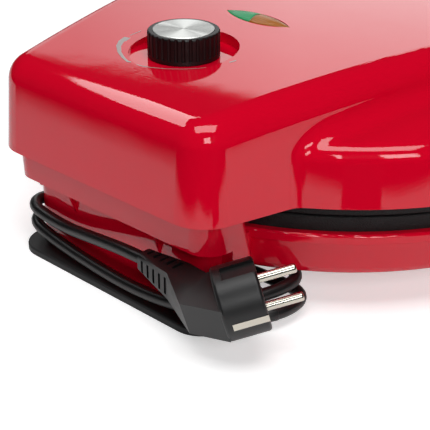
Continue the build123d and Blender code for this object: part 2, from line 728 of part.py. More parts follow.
# Front grips, one on the lid and one on the base
for label, low_z, high_z in (("lid_grip", lid_grip_base_z, lid_grip_top_z),
                             ("base_grip", base_grip_base_z, base_grip_top_z)):
    with BuildPart() as grip:
        with BuildSketch(Plane.XY.offset(low_z)) as grip_plan:
            with Locations((0, (grip_seat_y + grip_reach_y) / 2)):
                Rectangle(grip_width, grip_seat_y - grip_reach_y)
            fillet(grip_plan.vertices().group_by(Axis.Y)[0], radius=grip_corner)
        extrude(amount=high_z - low_z)
        front = [e for e in grip.edges() if e.center().Y < grip_seat_y - 1 and abs(e.tangent_at(0.5).Z) < 0.1]
        fillet(front, radius=grip_fillet)
    grip.part.label = label
    export_step(grip.part, "parts/" + label + ".step")

# Terminal block on the bowl's floor and a thermal fuse on the lower plate's back
with BuildPart() as terminal_block:
    with Locations((0, 118, bowl_floor_z + bowl_wall)):
        Box(34, 17, 7, align=(Align.CENTER, Align.CENTER, Align.MIN))
    with Locations(*[(x, 118, bowl_floor_z + bowl_wall + 7) for x in (-10, 0, 10)]):
        Cylinder(2, 6, mode=Mode.SUBTRACT)
terminal_block.part.label = "terminal_block"
export_step(terminal_block.part, "parts/terminal_block.step")

with BuildPart() as thermal_fuse:
    with Locations((30, 0, lower_face_z - plate_wall)):
        Box(20, 7, 5, align=(Align.CENTER, Align.CENTER, Align.MAX))
    fillet(thermal_fuse.edges().filter_by(Axis.X), radius=1.5)
thermal_fuse.part.label = "thermal_fuse"
export_step(thermal_fuse.part, "parts/thermal_fuse.step")

# Screws that hold the foot plate up against the neck's floor
with BuildPart() as foot_screws:
    with Locations(*[(sx * neck_half_width / 2, (neck_front_y + neck_rear_y) / 2, 0.4) for sx in (-1, 1)]):
        Cylinder(screw_head_radius, 2.2, align=(Align.CENTER, Align.CENTER, Align.MIN))
foot_screws.part.label = "foot_screws"
export_step(foot_screws.part, "parts/foot_screws.step")

# Gland where the cord leaves the neck
gland_face_x = -neck_half_width - gland_proud
with BuildPart() as cord_gland:
    with Locations(Location((gland_face_x, gland_y, gland_z), (0, 90, 0))):
        Cylinder(gland_radius, gland_proud + neck_wall + 2, align=(Align.CENTER, Align.CENTER, Align.MIN))
    fillet(cord_gland.edges().sort_by(Axis.X)[0], radius=0.8)
cord_gland.part.label = "cord_gland"
export_step(cord_gland.part, "parts/cord_gland.step")

# Cord. Each turn has four corners, one a quarter turn from the next; it climbs as it goes round, and
# ends in the plug's strain relief behind the neck.
lay = cord_radius + cord_stand_off
lay_x = neck_half_width + lay
lay_rear_y = neck_rear_y + lay
lay_front_y = neck_front_y - lay
lay_bend = neck_corner + lay
loop_x = -neck_half_width - 22
loop_front_y = neck_front_y - 15
low_z = gland_z - 1.2
cord_route = [
    (gland_face_x, gland_y, gland_z),
    (loop_x, gland_y, gland_z),
    (loop_x, loop_front_y, low_z),
    (lay_x, lay_front_y, low_z + 1.2),
    (lay_x, lay_rear_y, low_z + 11.6),
    (38, lay_rear_y + 0.6, low_z + 4),
    (-38, lay_rear_y + 1.4, low_z + 5),
    (-lay_x - 0.8, lay_rear_y, low_z + 7.8),
    (loop_x - 1, loop_front_y - 4, low_z + 9.6),
    (lay_x + 0.6, lay_front_y, low_z + 10.4),
    (lay_x + 0.6, lay_rear_y + 0.6, low_z + 20.6),
    (40, lay_rear_y + 2, low_z + 18.2),
    (4, lay_rear_y + 6, low_z + 23.6),
    (plug_cord_x + 14, plug_cord_y, plug_cord_z),
    (plug_cord_x, plug_cord_y, plug_cord_z),
]
cord_bends = [12, 14, lay_bend, lay_bend, 90, 200, lay_bend, 16, lay_bend, lay_bend, 90, 90, 60]
with BuildPart() as power_cord:
    with BuildLine() as cord_path:
        FilletPolyline(*cord_route, radius=cord_bends)
    cord_line = cord_path.wires()[0]
    with BuildSketch(Plane(origin=cord_line @ 0, z_dir=cord_line % 0)):
        Circle(cord_radius)
    sweep(path=cord_line)
power_cord.part.label = "power_cord"
export_step(power_cord.part, "parts/power_cord.step")

# Plug: an angled earthed two-pin plug. A round head carries the pins, a wedge behind it turns the
# corner, and a square strain relief with slots on two faces runs out to the cord.
pin_axis = Vector(*plug_pin_direction).normalized()
clip_axis = Vector(*plug_clip_direction)
clip_axis = (clip_axis - pin_axis * clip_axis.dot(pin_axis)).normalized()
face_plane = Plane(origin=plug_face, x_dir=clip_axis, z_dir=pin_axis)
flat_plane = Plane(origin=plug_face, x_dir=clip_axis, z_dir=clip_axis.cross(pin_axis))
wedge_mid = ((wedge_outer[0] + wedge_inner[0]) / 2, (wedge_outer[1] + wedge_inner[1]) / 2)
wedge_width = hypot(wedge_outer[0] - wedge_inner[0], wedge_outer[1] - wedge_inner[1])
wedge_across = clip_axis * (wedge_outer[0] - wedge_inner[0]) + pin_axis * (wedge_outer[1] - wedge_inner[1])
wedge_plane = Plane(
    origin=flat_plane.from_local_coords((wedge_mid[0], wedge_mid[1], 0)),
    x_dir=wedge_across,
    z_dir=wedge_across.cross(flat_plane.z_dir),
)
with BuildPart() as plug_body:
    with BuildSketch(face_plane.offset(-plug_head_depth)):
        Circle(plug_head_radius)
    extrude(amount=plug_head_depth)
    fillet(plug_body.edges(), radius=plug_head_fillet)
    with BuildSketch(face_plane):
        with Locations((0, -plug_head_radius)):
            Rectangle(guide_width, 2 * guide_depth)
    extrude(amount=-guide_length, mode=Mode.SUBTRACT)
    with BuildSketch(face_plane):
        with Locations((strip_seat_radius + 1, 0), (-strip_seat_radius - 1, 0)):
            Rectangle(2, earth_strip_width + 0.4)
    extrude(amount=-earth_strip_length, mode=Mode.SUBTRACT)
    with BuildSketch(flat_plane):
        Polygon(wedge_inner, wedge_outer, wedge_front, (wedge_inner[0], wedge_front[1]), align=None)
    extrude(amount=wedge_thickness / 2, both=True)
    with BuildSketch(wedge_plane):
        Rectangle(wedge_width, wedge_thickness)
    with BuildSketch(Plane.YZ.offset(relief_end[0])):
        with Locations((relief_end[1], relief_end[2])):
            Rectangle(relief_end_size, relief_end_size)
    loft(ruled=True)
    with BuildSketch(Plane.YZ.offset(relief_end[0])):
        with Locations((relief_end[1], relief_end[2])):
            Rectangle(relief_end_size, relief_end_size)
    with BuildSketch(Plane.YZ.offset(plug_cord_x)):
        with Locations((plug_cord_y, plug_cord_z)):
            RectangleRounded(relief_start_size, relief_start_size, 3)
    loft()
    for k in range(relief_slot_count):
        t = (k + 0.8) / (relief_slot_count + 0.2)
        slot_x = plug_cord_x + t * (relief_end[0] - plug_cord_x)
        half = (relief_start_size + t * (relief_end_size - relief_start_size)) / 2
        slot_y = plug_cord_y + t * (relief_end[1] - plug_cord_y)
        slot_z = plug_cord_z + t * (relief_end[2] - plug_cord_z)
        with Locations((slot_x, slot_y - 0.25 * half, slot_z + half)):
            Box(relief_slot_width, half, 2 * relief_slot_depth, mode=Mode.SUBTRACT)
        with Locations((slot_x, slot_y + half, slot_z - 0.1 * half)):
            Box(relief_slot_width, 2 * relief_slot_depth, 1.3 * half, mode=Mode.SUBTRACT)
plug_body.part.label = "plug_body"
export_step(plug_body.part, "parts/plug_body.step")

with BuildPart() as plug_pins:
    with BuildSketch(face_plane):
        with Locations((0, plug_pin_spacing / 2), (0, -plug_pin_spacing / 2)):
            Circle(plug_pin_radius)
    extrude(amount=plug_pin_length)
    fillet(plug_pins.edges().sort_by(Axis(plug_face, plug_pin_direction))[-2:], radius=1.2)
plug_pins.part.label = "plug_pins"
export_step(plug_pins.part, "parts/plug_pins.step")

with BuildPart() as earth_clips:
    with BuildSketch(face_plane):
        with Locations(*[(sx * (strip_seat_radius + 0.02 + earth_strip_thickness / 2), 0) for sx in (-1, 1)]):
            Rectangle(earth_strip_thickness, earth_strip_width)
    extrude(amount=-earth_strip_length + 0.1)
earth_clips.part.label = "earth_clips"
export_step(earth_clips.part, "parts/earth_clips.step")

# What the cord's tube measures
cord_length = cord_line.length
section = 3.141592653589793 * cord_radius**2
print("cord length", round(cord_length, 1), "volume ratio", round(power_cord.part.volume / (section * cord_length), 4))
print("cord radii", sorted({round(e.radius, 1) for e in cord_line.edges() if e.geom_type == GeomType.CIRCLE}))
samples = [cord_line.position_at(k / 600) for k in range(601)]
step = cord_length / 600
near = min(
    (samples[i] - samples[j]).length
    for i in range(601)
    for j in range(i + 1, 601)
    if (j - i) * step > 60
)
print("winding's least gap to itself", round(near - 2 * cord_radius, 2))
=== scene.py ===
import math

import bpy
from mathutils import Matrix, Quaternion, Vector


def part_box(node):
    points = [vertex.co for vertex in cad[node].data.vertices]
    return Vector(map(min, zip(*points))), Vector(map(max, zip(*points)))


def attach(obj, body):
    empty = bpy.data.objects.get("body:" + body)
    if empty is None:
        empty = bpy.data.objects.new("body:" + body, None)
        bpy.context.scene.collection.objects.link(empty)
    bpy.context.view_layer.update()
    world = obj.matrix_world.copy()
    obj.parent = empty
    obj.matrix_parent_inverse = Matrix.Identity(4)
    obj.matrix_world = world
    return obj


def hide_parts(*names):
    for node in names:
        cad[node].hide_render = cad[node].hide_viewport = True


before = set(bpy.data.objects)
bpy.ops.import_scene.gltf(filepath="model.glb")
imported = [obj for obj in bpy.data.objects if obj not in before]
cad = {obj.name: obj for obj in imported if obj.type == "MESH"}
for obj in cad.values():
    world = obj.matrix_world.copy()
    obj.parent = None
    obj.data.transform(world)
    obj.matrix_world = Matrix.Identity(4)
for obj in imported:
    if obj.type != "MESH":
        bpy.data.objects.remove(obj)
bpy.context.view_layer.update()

# Camera
# A studio telephoto on a tripod, high behind the left rear corner. It is aimed down at the cord
# store, so the front half of the cooker lies outside the picture.
camera_place = (-0.42956, 0.54658, 0.32276)
view_direction = Vector((0.6235, -0.6416, -0.447))
focal_length = 97.74
camera_data = bpy.data.cameras.new("camera")
camera_data.sensor_width = 36
camera_data.lens = focal_length
camera = bpy.data.objects.new("camera", camera_data)
bpy.context.scene.collection.objects.link(camera)
camera.location = camera_place
camera.rotation_euler = view_direction.to_track_quat("-Z", "Y").to_euler()
bpy.context.scene.camera = camera
bpy.context.scene.view_settings.view_transform = "Standard"

# Power cord
# A round flexible cord with a black PVC sheath, extruded. It leaves the gland in the side of the
# neck, winds twice round the neck over the foot plate, and ends in the plug behind the neck.


def linear(code):
    """An sRGB hex colour as the linear colour a shader takes."""
    parts = [int(code[i : i + 2], 16) / 255 for i in (1, 3, 5)]
    return [c / 12.92 if c <= 0.04045 else ((c + 0.055) / 1.055) ** 2.4 for c in parts] + [1]


def new_material(name):
    """A material and its own shader."""
    material = bpy.data.materials.new(name)
    material.use_nodes = True
    return material, material.node_tree.nodes["Principled BSDF"]


def add_node(tree, kind, inputs=None, **settings):
    """Adds a node. An input given as (node, output) is linked, and any other is set."""
    node = tree.nodes.new(kind)
    for name, value in settings.items():
        setattr(node, name, value)
    for socket, value in (inputs or {}).items():
        if isinstance(value, tuple) and isinstance(value[0], bpy.types.Node):
            tree.links.new(value[0].outputs[value[1]], node.inputs[socket])
        else:
            node.inputs[socket].default_value = value
    return node


def set_shader(shader, **values):
    """Sets a shader's own sockets, named with underscores for spaces."""
    for name, value in values.items():
        shader.inputs[name.replace("_", " ")].default_value = value


def link(tree, node, output, shader, socket):
    """Links a node's output to a socket of a shader that is there already."""
    tree.links.new(node.outputs[output], shader.inputs[socket])


# Plasticised PVC, black, extruded over three stranded cores. Their lay shows as a faint wave
# 3.85 mm long, and the skin is satin, so the sheath carries one soft broad highlight.
core_wave = 0.00385
cord_pvc, shader = new_material("cord_pvc_extruded")
set_shader(shader, Base_Color=linear("#0A090A"), Roughness=0.38, IOR=1.53)
place = add_node(cord_pvc.node_tree, "ShaderNodeTexCoord")
grain = add_node(
    cord_pvc.node_tree,
    "ShaderNodeTexNoise",
    {"Vector": (place, "Object"), "Scale": 1 / core_wave, "Detail": 3},
)
bump = add_node(
    cord_pvc.node_tree,
    "ShaderNodeBump",
    {"Height": (grain, "Fac"), "Strength": 0.25, "Distance": 0.0004},
)
link(cord_pvc.node_tree, bump, "Normal", shader, "Normal")

cord_radius = 0.0035
cord_points = [
    (-0.0735, 0.1660, 0.0086),
    (-0.0935, 0.1665, 0.0086),
    (-0.0945, 0.1265, 0.0078),
    (-0.0551, 0.1296, 0.0079),
    (0.0280, 0.1359, 0.0083),
    (0.0752, 0.1376, 0.0088),
    (0.0750, 0.1866, 0.0190),
    (0.0380, 0.1870, 0.0104),
    (-0.0320, 0.1905, 0.0090),
    (-0.0768, 0.1870, 0.0166),
    (-0.0960, 0.1224, 0.0186),
    (-0.0309, 0.1297, 0.0173),
    (0.0285, 0.1351, 0.0176),
    (0.0754, 0.1376, 0.0180),
    (0.0750, 0.1866, 0.0286),
    (0.0400, 0.1874, 0.0238),
    (0.0040, 0.1909, 0.0296),
    (-0.0218, 0.1932, 0.0334),
    (-0.0358, 0.1932, 0.0334),
]
cord_curve = bpy.data.curves.new("power_cord_sheath", "CURVE")
cord_curve.dimensions = "3D"
cord_curve.resolution_u = 16
cord_curve.bevel_depth = cord_radius
cord_curve.bevel_resolution = 5
cord_curve.use_fill_caps = True
spline = cord_curve.splines.new("NURBS")
spline.points.add(len(cord_points) - 1)
for spline_point, cord_point in zip(spline.points, cord_points):
    spline_point.co = (*cord_point, 1)
spline.order_u = 3
spline.use_endpoint_u = True
cord = bpy.data.objects.new("power_cord_sheath", cord_curve)
bpy.context.scene.collection.objects.link(cord)
cord_curve.materials.append(cord_pvc)
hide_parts("power_cord")
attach(cord, "base")

# Strain relief at the neck
# A short tapered sleeve of flexible PVC, moulded onto the cord where it leaves the gland, with
# rings that let it bend with the cord.
relief_length = 0.024
relief_radius = 0.0043
relief_end_radius = cord_radius * 1.08
relief_rings = 5
relief_ring_height = 0.0003
relief_sides = 28
stations_per_ring = 8
stations_per_ridge = 5

line_curve = cord_curve.copy()
line_curve.bevel_depth = 0
line_object = bpy.data.objects.new("cord_line", line_curve)
bpy.context.scene.collection.objects.link(line_object)
depsgraph = bpy.context.evaluated_depsgraph_get()
line_mesh = bpy.data.meshes.new_from_object(line_object.evaluated_get(depsgraph))
line = [vertex.co.copy() for vertex in line_mesh.vertices]
bpy.data.objects.remove(line_object)


def along(line, distance):
    """The point and direction that lie a distance along a line of points."""
    for a, b in zip(line, line[1:]):
        step = (b - a).length
        if distance <= step:
            return a + (b - a) * (distance / step), (b - a).normalized()
        distance -= step
    return line[-1], (line[-1] - line[-2]).normalized()


def add_mesh(name, vertices, faces, material):
    """A mesh object in one material, linked to the scene."""
    mesh = bpy.data.meshes.new(name)
    mesh.from_pydata(vertices, [], faces)
    mesh.materials.append(material)
    obj = bpy.data.objects.new(name, mesh)
    bpy.context.scene.collection.objects.link(obj)
    return obj


def tube(name, stations, sides, material):
    """A closed tube through (centre, direction, radius) stations, with smooth sides."""
    vertices, faces = [], []
    for centre, direction, radius in stations:
        side = direction.cross(Vector((0, 0, 1))).normalized()
        up = side.cross(direction).normalized()
        for k in range(sides):
            turn = 2 * math.pi * k / sides
            spoke = side * math.cos(turn) + up * math.sin(turn)
            vertices.append(tuple(centre + spoke * radius))
    for r in range(len(stations) - 1):
        for k in range(sides):
            a, b = r * sides + k, r * sides + (k + 1) % sides
            faces.append((a, b, b + sides, a + sides))
    faces.append(tuple(reversed(range(sides))))
    faces.append(tuple(range(len(vertices) - sides, len(vertices))))
    obj = add_mesh(name, vertices, faces, material)
    for polygon in obj.data.polygons:
        polygon.use_smooth = len(polygon.vertices) == 4
    return obj


stations = []
last_station = relief_rings * stations_per_ring
for i in range(last_station + 1):
    share = i / last_station
    centre, direction = along(line, share * relief_length)
    taper = relief_radius + (relief_end_radius - relief_radius) * share
    ring = relief_ring_height if i % stations_per_ring < stations_per_ridge else 0
    stations.append((centre, direction, taper + ring * (1 - share)))
relief = tube("cord_relief", stations, relief_sides, cord_pvc)
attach(relief, "base")

# Floor and studio light
# A table under white paper, with two of its edges near the hinge side of the cooker and the dark
# of the studio beyond them, under softboxes. The picture shows the floor white wherever it is
# lit, with the shadow of the cooker on it. None of this is part of the object.

# Matt white paper, calendered and rolled out flat. It glows a little to the camera, which makes
# it read white and still keeps the cooker's shadow. Reflections see it end at its two edges.
paper_white = 0.9
near_lift = 0.46
near_reach = 0.5
far_lift = 1.0
far_reach = 1.6
glossy_lift = 0.2
paper_edges = ((0.0, 0.418), (-1.46, 0.716))
paper_curl = 0.02
floor_white = bpy.data.materials.new("floor_paper_matt_white")
floor_white.use_nodes = True
tree = floor_white.node_tree
tree.nodes.clear()
place = add_node(tree, "ShaderNodeTexCoord")
on_paper = None
for slope, reach in paper_edges:
    across = add_node(
        tree,
        "ShaderNodeVectorMath",
        {0: (place, "Object"), 1: (slope, 1, 0)},
        operation="DOT_PRODUCT",
    )
    inside = add_node(
        tree,
        "ShaderNodeMapRange",
        {
            "Value": (across, "Value"),
            "From Min": reach - paper_curl,
            "From Max": reach + paper_curl,
            "To Min": 1.0,
            "To Max": 0.0,
        },
    )
    on_paper = inside if on_paper is None else add_node(
        tree,
        "ShaderNodeMapRange",
        {"Value": (inside, "Result"), "To Max": (on_paper, "Result")},
    )
path = add_node(tree, "ShaderNodeLightPath")
not_glossy = add_node(
    tree, "ShaderNodeMath", {0: 1.0, 1: (path, "Is Glossy Ray")}, operation="SUBTRACT"
)
keep = add_node(
    tree,
    "ShaderNodeMath",
    {0: (on_paper, "Result"), 1: (not_glossy, "Value")},
    operation="MAXIMUM",
)
tone = add_node(
    tree, "ShaderNodeMath", {0: (keep, "Value"), 1: paper_white}, operation="MULTIPLY"
)
paint = add_node(tree, "ShaderNodeBsdfDiffuse", {"Color": (tone, "Value")})
seen = add_node(
    tree,
    "ShaderNodeMath",
    {0: (path, "Is Camera Ray"), 1: (path, "Is Transmission Ray")},
    operation="MAXIMUM",
)
distance = add_node(
    tree, "ShaderNodeVectorMath", {0: (place, "Object")}, operation="LENGTH"
)
fall = add_node(
    tree,
    "ShaderNodeMapRange",
    {
        "Value": (distance, "Value"),
        "From Min": near_reach,
        "From Max": far_reach,
        "To Min": near_lift,
        "To Max": far_lift,
    },
)
seen = add_node(
    tree, "ShaderNodeMath", {0: (seen, "Value"), 1: (fall, "Result")}, operation="MULTIPLY"
)
mirrored = add_node(
    tree,
    "ShaderNodeMath",
    {0: (path, "Is Glossy Ray"), 1: glossy_lift},
    operation="MULTIPLY",
)
glow = add_node(
    tree, "ShaderNodeMath", {0: (seen, "Value"), 1: (mirrored, "Value")}, operation="ADD"
)
glow = add_node(
    tree, "ShaderNodeMath", {0: (glow, "Value"), 1: (keep, "Value")}, operation="MULTIPLY"
)
lift = add_node(
    tree, "ShaderNodeEmission", {"Color": (1, 1, 1, 1), "Strength": (glow, "Value")}
)
both = add_node(tree, "ShaderNodeAddShader", {0: (paint, "BSDF"), 1: (lift, "Emission")})
add_node(tree, "ShaderNodeOutputMaterial", {"Surface": (both, "Shader")})

floor_reach = 4
corners = [(-1, -1), (1, -1), (1, 1), (-1, 1)]
one_face = [(0, 1, 2, 3)]
floor_corners = [(x * floor_reach, y * floor_reach, 0) for x, y in corners]
floor = add_mesh("floor", floor_corners, one_face, floor_white)

# The walls of the studio are nearly black to the cooker, and white to the camera.
wall_light = 0.015
wall_glint = 0.005
world = bpy.data.worlds.new("studio")
bpy.context.scene.world = world
world.use_nodes = True
tree = world.node_tree
background = tree.nodes["Background"]
background.inputs["Color"].default_value = (1, 1, 1, 1)
path = add_node(tree, "ShaderNodeLightPath")
dim = add_node(
    tree,
    "ShaderNodeMath",
    {0: (path, "Is Glossy Ray"), 1: wall_glint, 2: wall_light},
    operation="MULTIPLY_ADD",
)
clear = add_node(
    tree,
    "ShaderNodeMath",
    {0: (path, "Is Camera Ray"), 1: (path, "Is Transmission Ray")},
    operation="MAXIMUM",
)
wall = add_node(
    tree,
    "ShaderNodeMath",
    {0: (clear, "Value"), 1: (dim, "Value")},
    operation="MAXIMUM",
)
link(tree, wall, "Value", background, "Strength")


def softbox(name, place, aim, width, height, watts):
    """A rectangular softbox that the camera doesn't see."""
    data = bpy.data.lights.new(name, "AREA")
    data.shape = "RECTANGLE"
    data.size = width
    data.size_y = height
    data.energy = watts
    lamp = bpy.data.objects.new(name, data)
    bpy.context.scene.collection.objects.link(lamp)
    lamp.location = place
    lamp.rotation_euler = (Vector(aim) - Vector(place)).to_track_quat("-Z", "Y").to_euler()
    lamp.visible_camera = False


# Woven white nylon, stretched over the far box. Its lamp stands at one end, so the cloth fades
# from one side to the other, and the top of the lid mirrors that fade.
far_place = (1.4515, -1.63, 0.955)
far_width = 2.24
far_height = 0.90
far_roll = math.radians(-11)
bright_light = 1.7
bright_end = 0.0
dim_light = 0.95
dim_end = 0.6
lid_middle = (0, 0.1, 0.12)
far_cloth = bpy.data.materials.new("far_box_nylon_woven")
far_cloth.use_nodes = True
tree = far_cloth.node_tree
tree.nodes.clear()
place = add_node(tree, "ShaderNodeTexCoord")
parts = add_node(tree, "ShaderNodeSeparateXYZ", {0: (place, "Object")})
fade = add_node(
    tree,
    "ShaderNodeMapRange",
    {
        "Value": (parts, "X"),
        "From Min": bright_end,
        "From Max": dim_end,
        "To Min": bright_light,
        "To Max": dim_light,
    },
)
cloth = add_node(tree, "ShaderNodeEmission", {"Strength": (fade, "Result")})
add_node(tree, "ShaderNodeOutputMaterial", {"Surface": (cloth, "Emission")})
far_corners = [(x * far_width / 2, y * far_height / 2, 0) for x, y in corners]
far_box = add_mesh("far_box", far_corners, one_face, far_cloth)
far_box.location = far_place
aim = Vector(lid_middle) - far_box.location
roll = Quaternion((0, 0, 1), far_roll)
far_box.rotation_euler = (aim.to_track_quat("-Z", "Y") @ roll).to_euler()
far_box.visible_camera = False

strip_place = (1.36, 0.1, 1.58)
softbox("side_strip", strip_place, lid_middle, width=1.6, height=0.36, watts=8)

# Black cotton velvet, woven with a deep pile that gives nothing back. The flag stands by the
# camera and shows only in reflections, where it keeps the red deep.
flag_place = (-0.272, 0.244, 0)
flag_turn = math.radians(52.5)
flag_width = 0.072
flag_height = 0.35
flag_velvet, shader = new_material("flag_velvet_woven")
set_shader(shader, Base_Color=linear("#050505"), Roughness=0.9)
flag_corners = [(x * flag_width / 2, 0, (y + 1) * flag_height / 2) for x, y in corners]
flag = add_mesh("black_flag", flag_corners, one_face, flag_velvet)
flag.location = flag_place
flag.rotation_euler = (0, 0, flag_turn)
flag.visible_camera = False
flag.visible_diffuse = False
flag.visible_shadow = False

base_middle = (0, 0.1, 0.05)
top_place = (-0.35, 0.45, 1.7)
near_place = (-1.75, 1.15, 1.2)
softbox("top_box", top_place, base_middle, width=1.5, height=0.8, watts=17)
softbox("near_box", near_place, base_middle, width=1.2, height=0.8, watts=20)

# Base casing
# One moulding of red ABS: the bowl, the hinge block behind it, the neck that the cord is wound
# on, and the front feet. It came from a mirror-polished tool.


def paint_node(name, material):
    """Gives a CAD piece its material in its object's slots."""
    for material_slot in cad[name].material_slots:
        material_slot.link = "OBJECT"
        material_slot.material = material


# Red ABS, high gloss from a polished tool. A sink wave 22 mm long makes the edges of
# reflections wander slightly, and a peel 1.1 mm wide softens them, as on real mouldings.
sink_wave = 0.0222
peel_width = 0.00111
red_abs, shader = new_material("casing_red_abs_polished")
set_shader(shader, Base_Color=linear("#D90226"), Roughness=0.04, IOR=1.54)
place = add_node(red_abs.node_tree, "ShaderNodeTexCoord")
wave = add_node(
    red_abs.node_tree,
    "ShaderNodeTexNoise",
    {"Vector": (place, "Object"), "Scale": 1 / sink_wave, "Detail": 1},
)
bump = add_node(
    red_abs.node_tree,
    "ShaderNodeBump",
    {"Height": (wave, "Fac"), "Strength": 0.06, "Distance": 0.001},
)
peel = add_node(
    red_abs.node_tree,
    "ShaderNodeTexNoise",
    {"Vector": (place, "Object"), "Scale": 1 / peel_width, "Detail": 1},
)
bump = add_node(
    red_abs.node_tree,
    "ShaderNodeBump",
    {
        "Height": (peel, "Fac"),
        "Strength": 0.05,
        "Distance": 0.0002,
        "Normal": (bump, "Normal"),
    },
)
link(red_abs.node_tree, bump, "Normal", shader, "Normal")
paint_node("base_housing", red_abs)

# Heat shields
# Pressed pans of thin aluminised steel behind each plate. They throw the heat back at the plate
# and keep it off the casing.

# Aluminised steel sheet, cold pressed. The hot dip leaves a soft spangle 4.5 mm wide, which
# varies the sheen from patch to patch.
spangle_width = 0.00455
aluminised_steel, shader = new_material("sheet_steel_aluminised")
set_shader(shader, Base_Color=linear("#B9BBBC"), Metallic=1)
place = add_node(aluminised_steel.node_tree, "ShaderNodeTexCoord")
spangle = add_node(
    aluminised_steel.node_tree,
    "ShaderNodeTexVoronoi",
    {"Vector": (place, "Object"), "Scale": 1 / spangle_width},
)
sheen = add_node(
    aluminised_steel.node_tree,
    "ShaderNodeMapRange",
    {"Value": (spangle, "Color"), "To Min": 0.3, "To Max": 0.45},
)
link(aluminised_steel.node_tree, sheen, "Result", shader, "Roughness")
paint_node("lower_heat_shield", aluminised_steel)
paint_node("upper_heat_shield", aluminised_steel)

# Heating elements
# Bent rods of stainless tube filled with oxide powder, held under each plate, with the cold ends
# turned back to the wiring.

# Stainless steel sheath, drawn and then annealed, which leaves a brown heat tint in patches
# about 17 mm long.
tint_length = 0.0167
heater_sheath, shader = new_material("heater_sheath_stainless")
set_shader(shader, Metallic=1, Roughness=0.38)
place = add_node(heater_sheath.node_tree, "ShaderNodeTexCoord")
tint = add_node(
    heater_sheath.node_tree,
    "ShaderNodeTexNoise",
    {"Vector": (place, "Object"), "Scale": 1 / tint_length, "Detail": 2},
)
ramp = add_node(heater_sheath.node_tree, "ShaderNodeValToRGB", {"Fac": (tint, "Fac")})
ramp.color_ramp.elements[0].position = 0.35
ramp.color_ramp.elements[0].color = linear("#7A6A58")
ramp.color_ramp.elements[1].position = 0.65
ramp.color_ramp.elements[1].color = linear("#A8A49C")
link(heater_sheath.node_tree, ramp, "Color", shader, "Base Color")
paint_node("lower_element", heater_sheath)
paint_node("upper_element", heater_sheath)

# Thermal fuse and terminal block
# The fuse is clipped under the lower plate, and the block of steatite joins the cord to the
# wiring of the elements.

# Fuse case, drawn aluminium with a clear lacquer, evenly bright.
fuse_case, shader = new_material("fuse_case_aluminium_drawn")
set_shader(shader, Base_Color=linear("#D2D3D4"), Metallic=1, Roughness=0.28)
paint_node("thermal_fuse", fuse_case)

# Steatite, pressed and fired without glaze. It is off-white and chalky. Its grain is drawn
# 0.56 mm wide, coarser than the real one, so that it shows.
chalk_grain = 0.000556
steatite, shader = new_material("terminal_steatite_fired")
set_shader(shader, Base_Color=linear("#E6E1D4"), Roughness=0.7, IOR=1.6)
place = add_node(steatite.node_tree, "ShaderNodeTexCoord")
chalk = add_node(
    steatite.node_tree,
    "ShaderNodeTexNoise",
    {"Vector": (place, "Object"), "Scale": 1 / chalk_grain, "Detail": 2},
)
bump = add_node(
    steatite.node_tree,
    "ShaderNodeBump",
    {"Height": (chalk, "Fac"), "Strength": 0.3, "Distance": 0.0002},
)
link(steatite.node_tree, bump, "Normal", shader, "Normal")
paint_node("terminal_block", steatite)

# Cooking plates
# Two round plates of cast aluminium, each a shallow well inside a flange, coated black. The
# flanges rest on ledges in the casings and show as two dark rims in the gap between them.

# Non-stick PTFE over grit-blasted cast aluminium. The blast leaves pits about two thirds of a
# millimetre wide, so the coating looks like fine black leather with a dull sheen.
pit_width = 0.000667
non_stick, shader = new_material("plate_cast_aluminium_ptfe")
set_shader(shader, Base_Color=linear("#171617"), Roughness=0.42, IOR=1.38)
place = add_node(non_stick.node_tree, "ShaderNodeTexCoord")
pits = add_node(
    non_stick.node_tree,
    "ShaderNodeTexNoise",
    {"Vector": (place, "Object"), "Scale": 1 / pit_width, "Detail": 3},
)
bump = add_node(
    non_stick.node_tree,
    "ShaderNodeBump",
    {"Height": (pits, "Fac"), "Strength": 1.0, "Distance": 0.0006},
)
link(non_stick.node_tree, bump, "Normal", shader, "Normal")
paint_node("lower_plate", non_stick)
paint_node("upper_plate", non_stick)

# Screws
# Pan-head thread-forming screws of steel, driven into bosses in the casings. They hold the
# plates with their heat shields, the foot plate and the hinge arms.

# Zinc-plated steel, cold headed. The bright passivated zinc is slightly blue and satin.
zinc_steel, shader = new_material("screw_steel_zinc_plated")
set_shader(shader, Base_Color=linear("#BFC3C8"), Metallic=1, Roughness=0.3)
for name in ("base_screws", "foot_screws", "lid_screws", "hinge_screws"):
    paint_node(name, zinc_steel)

# Foot plate, grips and cord gland
# Black polypropylene mouldings: the plate under the neck that the cord is stored on, the two
# halves of the front grip, and the gland that holds the cord.

# Polypropylene, black, from a spark-eroded tool. The eroded grain breaks the highlight into a
# soft grey bloom. It is drawn 0.4 mm wide, coarser than the real one, so that it shows.
eroded_grain = 0.0004
black_pp, shader = new_material("black_polypropylene_eroded")
set_shader(shader, Base_Color=linear("#131314"), Roughness=0.58, IOR=1.49)
place = add_node(black_pp.node_tree, "ShaderNodeTexCoord")
eroded = add_node(
    black_pp.node_tree,
    "ShaderNodeTexNoise",
    {"Vector": (place, "Object"), "Scale": 1 / eroded_grain, "Detail": 2},
)
bump = add_node(
    black_pp.node_tree,
    "ShaderNodeBump",
    {"Height": (eroded, "Fac"), "Strength": 0.35, "Distance": 0.0002},
)
link(black_pp.node_tree, bump, "Normal", shader, "Normal")
for name in ("foot_plate", "base_grip", "lid_grip", "cord_gland"):
    paint_node(name, black_pp)

# Front pads
# Two discs of nitrile rubber, compression moulded and pressed into the front feet. They stop
# the cooker from sliding.

# Nitrile rubber, compression moulded, matt and faintly grey with bloom.
rubber, shader = new_material("foot_rubber_moulded")
set_shader(shader, Base_Color=linear("#1B1B1B"), Roughness=0.75, IOR=1.52)
paint_node("front_pads", rubber)

# Hinge
# Two cranked arms of mild steel, blanked and bent. They are screwed to pads inside the lid, and
# turn on steel pins that sit fast in the base's block.

